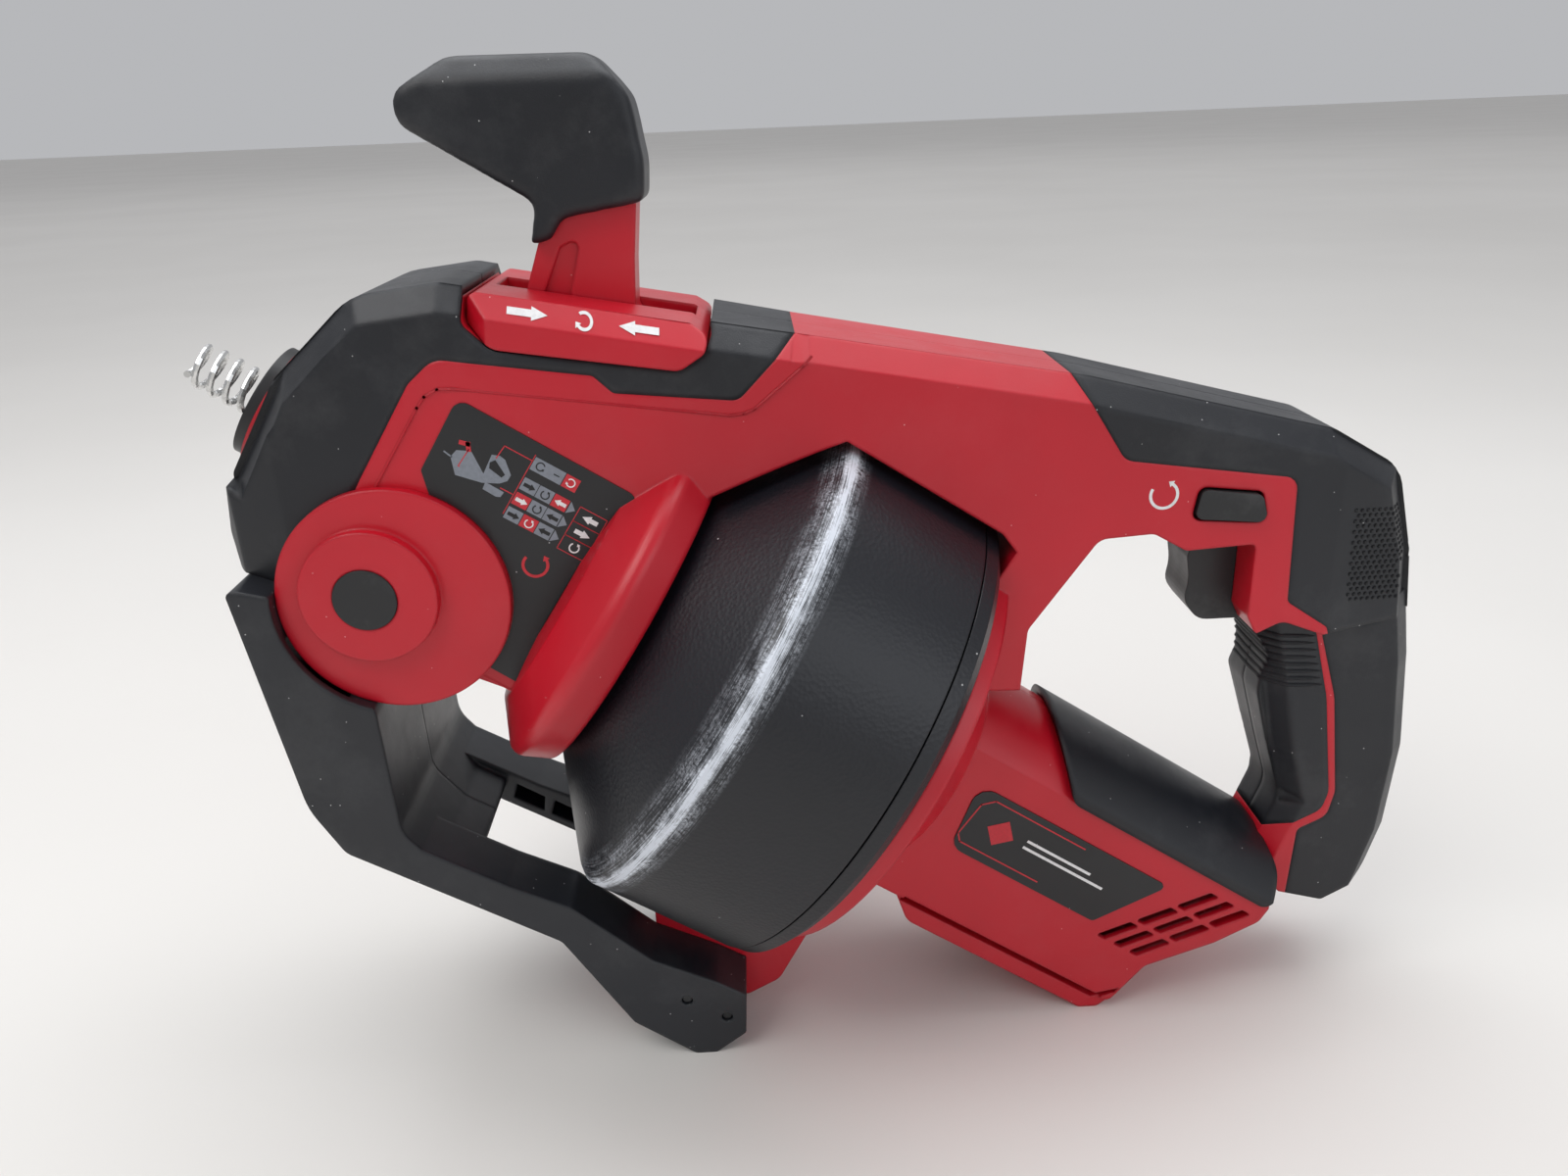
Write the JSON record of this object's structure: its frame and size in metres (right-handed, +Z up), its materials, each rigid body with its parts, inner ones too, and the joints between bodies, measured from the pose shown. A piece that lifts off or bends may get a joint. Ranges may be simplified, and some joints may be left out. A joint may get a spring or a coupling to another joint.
{
  "type": "drum auger",
  "caption": "Cordless drum auger: a closed cable drum on a slanted axis, feed lever, closed rear handle, fixed front stand and battery foot.",
  "frame": {"origin": "centre of the footprint's bounding box, at the ground", "axes": "+X from the nose towards the rear handle, +Y towards the tool's right-hand side, +Z up"},
  "size_m": [0.443, 0.198, 0.3635],
  "materials": {
    "red_plastic": "satin moulded nylon with a fine texture",
    "soft_rubber": "matte soft overmould with dust specks",
    "grey_plastic": "satin dark grey moulded plastic",
    "drum_plastic": "satin black moulded plastic, scuffed pale along the ridge",
    "label": "printed film with pictograms",
    "black_plastic": "satin black moulded plastic",
    "brass": "bright",
    "spring_steel": "oiled wound wire",
    "zinc": "bright zinc plate",
    "steel": "machined"
  },
  "bodies": {
    "casing": {"housing_left": "red_plastic", "housing_right": "red_plastic", "front_overmould_left": "soft_rubber", "front_overmould_right": "soft_rubber", "rear_overmould_left": "soft_rubber", "rear_overmould_right": "soft_rubber", "grip_left": "soft_rubber", "grip_right": "soft_rubber", "motor_pad": "soft_rubber", "nose_lip": "black_plastic", "nose_ring": "red_plastic", "guide_tube": "steel", "side_cover_left": "red_plastic", "side_cover_right": "red_plastic", "plug_left": "black_plastic", "plug_right": "black_plastic", "function_label": "label", "name_plate_left": "label", "name_plate_right": "label", "lever_gate": "red_plastic", "lever_pin": "steel", "lower_axles": "steel", "spindle_bearing": "steel", "gearbox_case": "steel", "motor_can": "steel", "switch_body": "black_plastic", "control_board": "black_plastic", "terminal_block": "black_plastic", "terminal_blades": "brass", "stand_left": "grey_plastic", "stand_right": "grey_plastic", "housing_screws": "steel", "stand_screws": "steel"},
    "drum": {"drum_front": "drum_plastic", "drum_rear": "drum_plastic", "drum_screws": "steel", "drum_spindle": "steel", "snake_coil": "spring_steel"},
    "snake": {"snake_cable": "spring_steel", "spring_tip": "zinc"},
    "lever": {"feed_lever": "red_plastic", "lever_grip": "soft_rubber", "feed_rocker": "steel", "upper_axles": "steel"},
    "upper_front": {"upper_roller_front": "steel"},
    "upper_rear": {"upper_roller_rear": "steel"},
    "lower_front": {"lower_roller_front": "steel"},
    "lower_rear": {"lower_roller_rear": "steel"},
    "planet_a": {"planet_1": "steel"},
    "planet_b": {"planet_2": "steel"},
    "planet_c": {"planet_3": "steel"},
    "rotor": {"motor_rotor": "steel", "motor_fan": "black_plastic"},
    "trigger_body": {"trigger": "black_plastic"},
    "selector_body": {"selector": "black_plastic"}
  },
  "joints": [
    {"name": "drum_spin", "type": "hinge", "parent": "casing", "child": "drum", "pos_m": [-0.0464, 0, 0.157], "axis": [0.829, 0, -0.5592], "continuous": true},
    {"name": "snake_feed", "type": "slide", "parent": "drum", "child": "snake", "axis": [-0.829, 0, 0.5592], "range_m": [-0.014, 0.03]},
    {"name": "lever_tilt", "type": "hinge", "parent": "casing", "child": "lever", "pos_m": [-0.10279, 0, 0.24329], "axis": [0, 1, 0], "range_deg": [-6, 6]},
    {"name": "upper_front_roll", "type": "hinge", "parent": "lever", "child": "upper_front", "pos_m": [-0.13821, 0, 0.23726], "axis": [0, 1, 0], "continuous": true},
    {"name": "upper_rear_roll", "type": "hinge", "parent": "lever", "child": "upper_rear", "pos_m": [-0.0951, 0, 0.20819], "axis": [0, 1, 0], "continuous": true},
    {"name": "lower_front_roll", "type": "hinge", "parent": "casing", "child": "lower_front", "pos_m": [-0.15365, 0, 0.21438], "axis": [0, 1, 0], "continuous": true},
    {"name": "lower_rear_roll", "type": "hinge", "parent": "casing", "child": "lower_rear", "pos_m": [-0.11054, 0, 0.1853], "axis": [0, 1, 0], "continuous": true},
    {"name": "rotor_spin", "type": "hinge", "parent": "casing", "child": "rotor", "pos_m": [0.06967, 0, 0.07871], "axis": [0.829, 0, -0.5592], "continuous": true},
    {"name": "planet_a_spin", "type": "hinge", "parent": "drum", "child": "planet_a", "pos_m": [0.02316, 0, 0.09561], "axis": [0.829, 0, -0.5592], "continuous": true},
    {"name": "planet_b_spin", "type": "hinge", "parent": "drum", "child": "planet_b", "pos_m": [0.03323, 0.01039, 0.11053], "axis": [0.829, 0, -0.5592], "continuous": true},
    {"name": "planet_c_spin", "type": "hinge", "parent": "drum", "child": "planet_c", "pos_m": [0.03323, -0.01039, 0.11053], "axis": [0.829, 0, -0.5592], "continuous": true},
    {"name": "trigger_pull", "type": "slide", "parent": "casing", "child": "trigger_body", "axis": [1, 0, 0], "range_m": [0, 0.007], "stiffness_N_per_m": 600, "springref_m": -0.004},
    {"name": "selector_slide", "type": "slide", "parent": "casing", "child": "selector_body", "axis": [0, 1, 0], "range_m": [-0.003, 0.003]}
  ],
  "couplings": [
    {"joint": "rotor_spin", "follows": "drum_spin", "ratio": 5},
    {"joint": "planet_a_spin", "follows": "drum_spin", "ratio": -2.6667},
    {"joint": "planet_b_spin", "follows": "drum_spin", "ratio": -2.6667},
    {"joint": "planet_c_spin", "follows": "drum_spin", "ratio": -2.6667}
  ]
}
